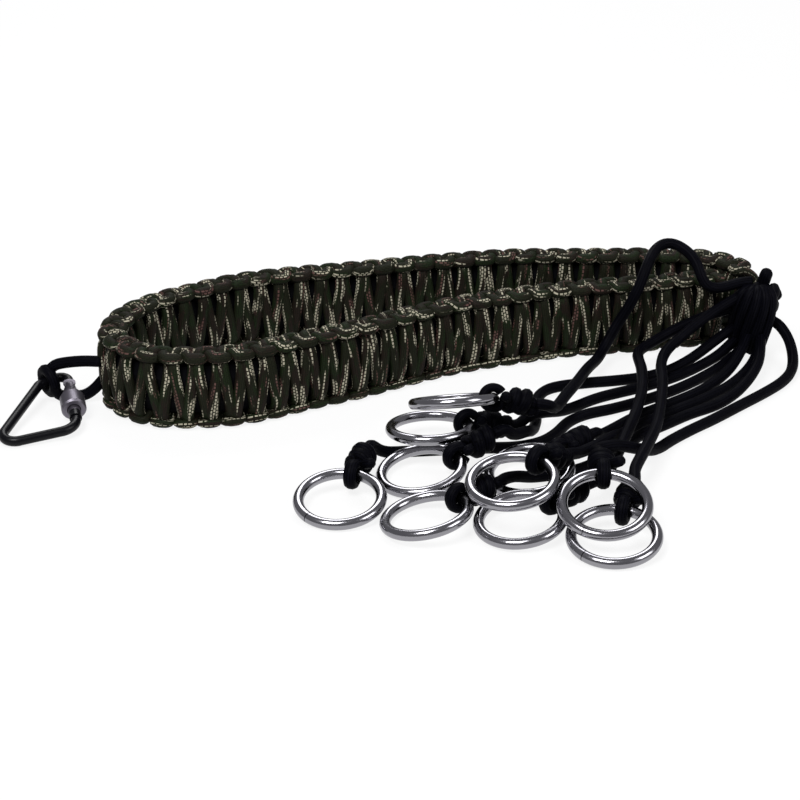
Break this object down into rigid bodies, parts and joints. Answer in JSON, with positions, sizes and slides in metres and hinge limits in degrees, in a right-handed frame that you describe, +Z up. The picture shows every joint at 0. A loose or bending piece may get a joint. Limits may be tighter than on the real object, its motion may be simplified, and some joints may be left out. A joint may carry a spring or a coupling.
{
  "type": "game bird carrier",
  "caption": "Woven cord strap loop with a screw-lock carabiner at one end and a fan of black cord droppers that end in steel rings, used to carry game birds.",
  "frame": {"origin": "middle of the bottom of the box round everything but the free cords", "axes": "+Z up; +X along the strap from the carabiner towards the droppers; the rings lie towards -Y"},
  "size_m": [0.3195, 0.2209, 0.0457],
  "materials": {
    "camo_cord": "woven olive, brown and black cord with light flecks",
    "black_cord": "braided black cord, slight sheen",
    "ring_steel": "bright nickel",
    "frame_black": "gloss black",
    "satin_metal": "satin",
    "spring_steel": "plain"
  },
  "bodies": {
    "strap": {"strap_weave": "camo_cord", "inner_weave": "black_cord", "core_strands": "black_cord", "binding_knot": "black_cord", "carabiner_loop": "black_cord", "carabiner_hitch": "black_cord", "ring_knot_1": "black_cord", "ring_knot_2": "black_cord", "ring_knot_3": "black_cord", "ring_knot_4": "black_cord", "ring_knot_5": "black_cord", "ring_knot_6": "black_cord", "ring_knot_7": "black_cord", "ring_knot_8": "black_cord", "ring_knot_9": "black_cord", "ring_knot_10": "black_cord", "dropper_1": "black_cord", "dropper_2": "black_cord", "dropper_3": "black_cord", "dropper_4": "black_cord", "dropper_5": "black_cord", "dropper_6": "black_cord", "dropper_7": "black_cord", "dropper_8": "black_cord", "dropper_9": "black_cord", "dropper_10": "black_cord"},
    "carabiner": {"carabiner_frame": "frame_black", "gate_pin": "satin_metal"},
    "gate": {"gate": "satin_metal", "gate_spring": "spring_steel", "gate_plunger": "satin_metal"},
    "sleeve": {"lock_sleeve": "satin_metal"},
    "ring_1": {"ring_1": "ring_steel"},
    "ring_2": {"ring_2": "ring_steel"},
    "ring_3": {"ring_3": "ring_steel"},
    "ring_4": {"ring_4": "ring_steel"},
    "ring_5": {"ring_5": "ring_steel"},
    "ring_6": {"ring_6": "ring_steel"},
    "ring_7": {"ring_7": "ring_steel"},
    "ring_8": {"ring_8": "ring_steel"},
    "ring_9": {"ring_9": "ring_steel"},
    "ring_10": {"ring_10": "ring_steel"}
  },
  "joints": [
    {"name": "carabiner_swing", "type": "hinge", "parent": "strap", "child": "carabiner", "pos_m": [-0.1358, 0.0674, 0.0082], "axis": [-0.906, -0.4118, -0.0981], "range_deg": [0, 20]},
    {"name": "gate_open", "type": "hinge", "parent": "carabiner", "child": "gate", "pos_m": [-0.12829, 0.06163, 0.00774], "axis": [0.0448, 0.1372, -0.9895], "range_deg": [0, 25], "stiffness_Nm_per_rad": 0.02},
    {"name": "sleeve_travel", "type": "slide", "parent": "gate", "child": "sleeve", "axis": [0.0031, -0.9905, -0.1372], "range_m": [0, 0.0045]},
    {"name": "ring_1_turn", "type": "hinge", "parent": "strap", "child": "ring_1", "pos_m": [-0.0436, -0.0469, 0.0047], "axis": [-0.0868, -0.1504, 0.9848], "continuous": true},
    {"name": "ring_2_turn", "type": "hinge", "parent": "strap", "child": "ring_2", "pos_m": [0.0054, -0.0159, 0.0231], "axis": [0.0139, 0.3985, 0.9171], "continuous": true},
    {"name": "ring_3_turn", "type": "hinge", "parent": "strap", "child": "ring_3", "pos_m": [-0.0016, -0.0088, 0.0096], "axis": [0, 0.1392, 0.9903], "continuous": true},
    {"name": "ring_4_turn", "type": "hinge", "parent": "strap", "child": "ring_4", "pos_m": [-0.0106, -0.0324, 0.0047], "axis": [-0.1677, -0.0449, 0.9848], "continuous": true},
    {"name": "ring_5_turn", "type": "hinge", "parent": "strap", "child": "ring_5", "pos_m": [-0.0169, -0.0662, 0.0051], "axis": [-0.1884, 0.0879, 0.9781], "continuous": true},
    {"name": "ring_6_turn", "type": "hinge", "parent": "strap", "child": "ring_6", "pos_m": [0.0134, -0.0674, 0.0155], "axis": [-0.1387, -0.1045, 0.9848], "continuous": true},
    {"name": "ring_7_turn", "type": "hinge", "parent": "strap", "child": "ring_7", "pos_m": [0.0274, -0.0414, 0.0047], "axis": [-0.1504, -0.0868, 0.9848], "continuous": true},
    {"name": "ring_8_turn", "type": "hinge", "parent": "strap", "child": "ring_8", "pos_m": [0.0144, -0.0754, 0.0047], "axis": [-0.1574, -0.0734, 0.9848], "continuous": true},
    {"name": "ring_9_turn", "type": "hinge", "parent": "strap", "child": "ring_9", "pos_m": [0.0415, -0.0849, 0.0121], "axis": [-0.08, -0.2985, 0.9511], "continuous": true},
    {"name": "ring_10_turn", "type": "hinge", "parent": "strap", "child": "ring_10", "pos_m": [0.0421, -0.0944, 0.0047], "axis": [-0.0868, -0.1504, 0.9848], "continuous": true}
  ]
}
